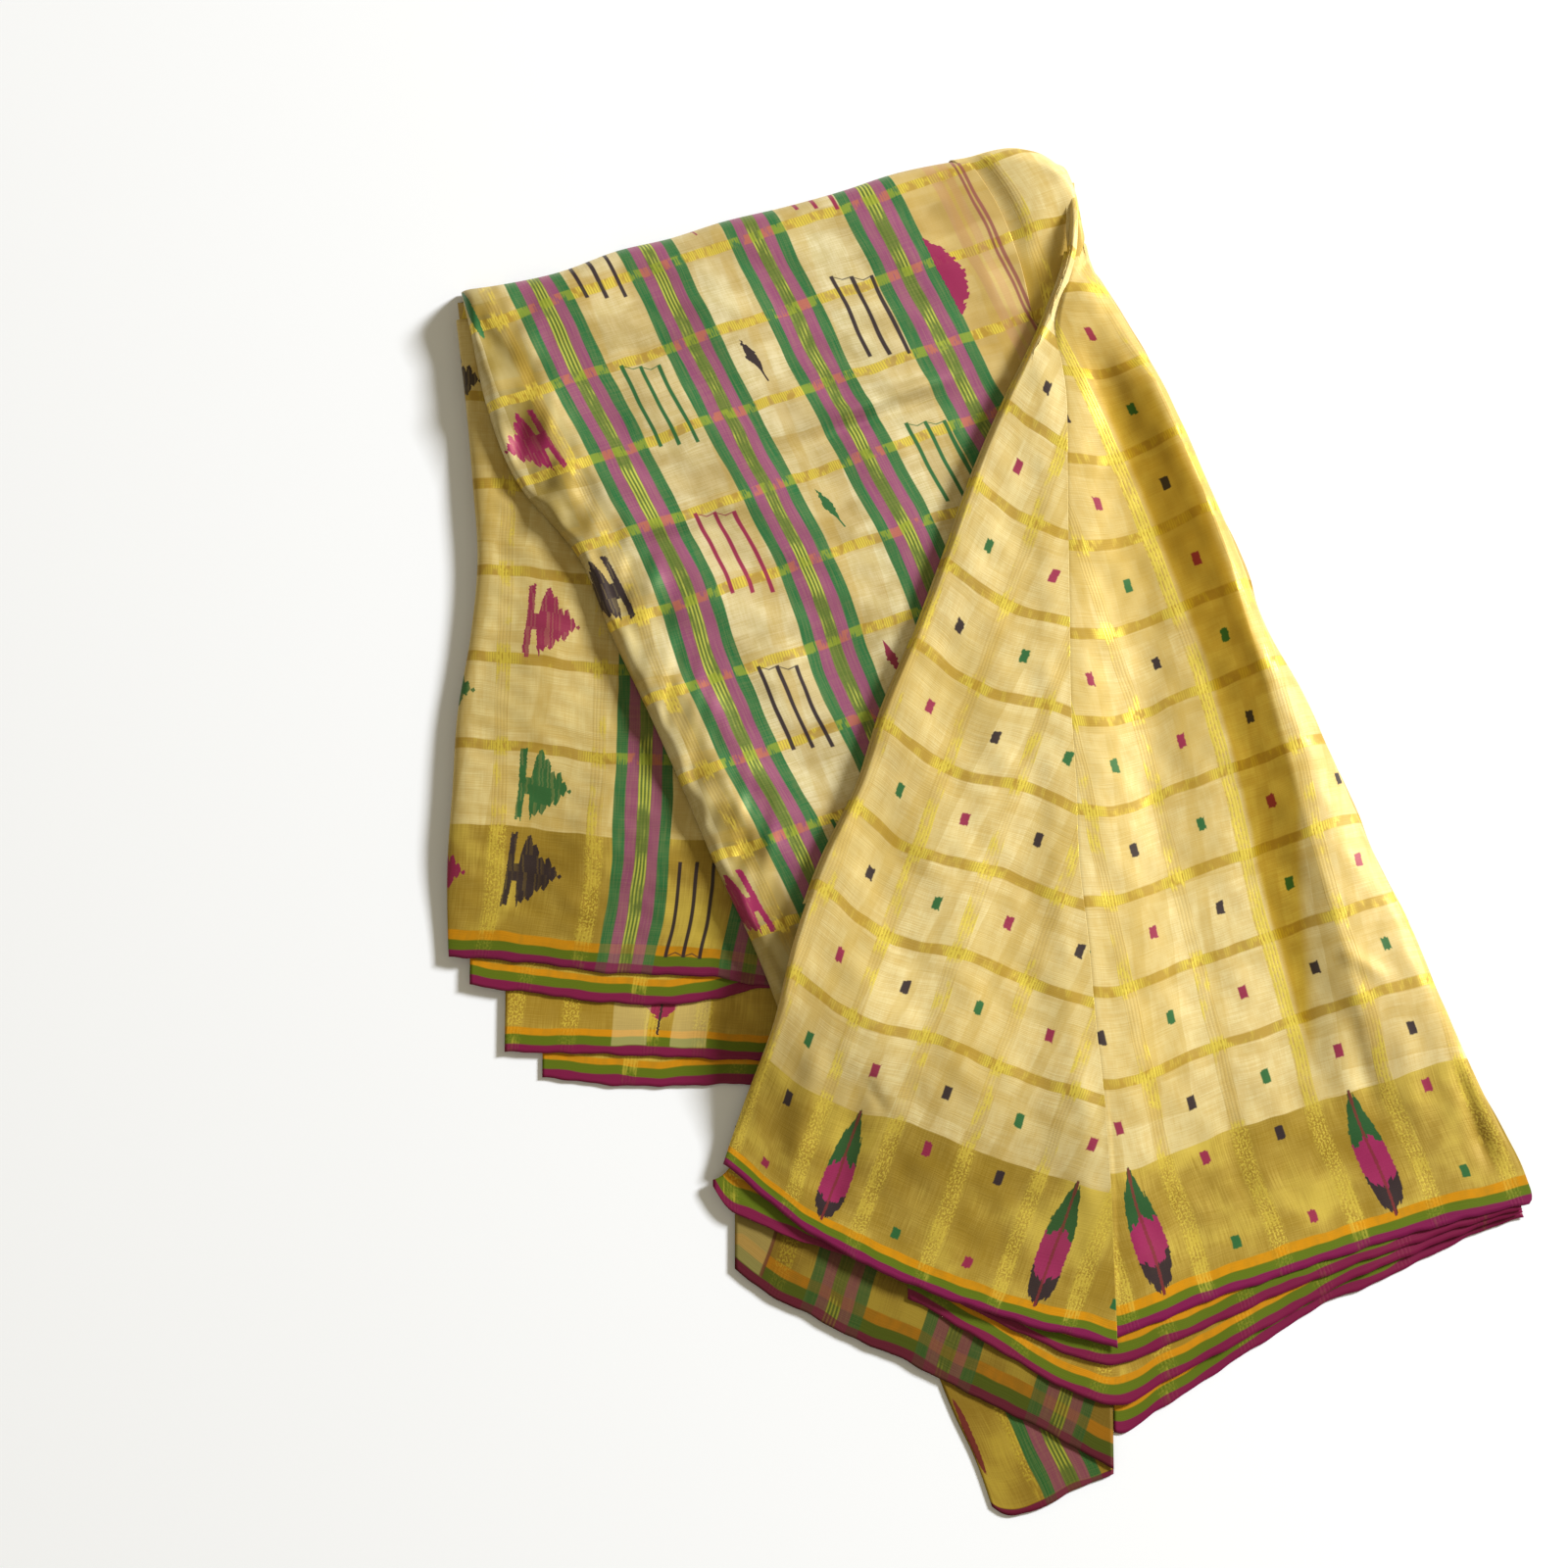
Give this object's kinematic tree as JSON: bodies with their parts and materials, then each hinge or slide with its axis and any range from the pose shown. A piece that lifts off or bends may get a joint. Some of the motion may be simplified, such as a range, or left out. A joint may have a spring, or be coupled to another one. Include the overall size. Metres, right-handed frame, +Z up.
{
  "type": "folded sari",
  "caption": "Folded woven sari lying flat, with a striped end over the middle, a dotted check fan with a long crease at the right and stepped border hems below.",
  "frame": {"origin": "centre of the bounding box, on the surface that the sari lies on", "axes": "+Y towards the top fold, away from the hems; +X towards the fan; +Z up from the surface"},
  "size_m": [0.5457, 0.703, 0.0378],
  "materials": {
    "check_cloth": "cream cotton and silk with a woven gold check, soft sheen",
    "striped_cloth": "cream with green, mauve and gold woven stripes, soft sheen",
    "border_cloth": "gold thread border with orange, olive and magenta hem stripes, metallic sheen"
  },
  "bodies": {
    "root": {"folded_layers": "check_cloth", "tree_panel": "check_cloth", "tree_hem_second": "border_cloth", "tree_hem_third": "border_cloth", "tree_hem_fourth": "border_cloth", "striped_panel": "striped_cloth", "top_turn": "check_cloth", "fan_edge_layer": "check_cloth", "fan_left_panel": "check_cloth", "fan_right_panel": "check_cloth", "fan_corner_hem": "border_cloth", "fan_hem_second": "border_cloth", "fan_hem_third": "border_cloth", "fan_hem_fourth": "border_cloth", "striped_hem": "striped_cloth", "tail_end": "border_cloth"}
  },
  "joints": []
}
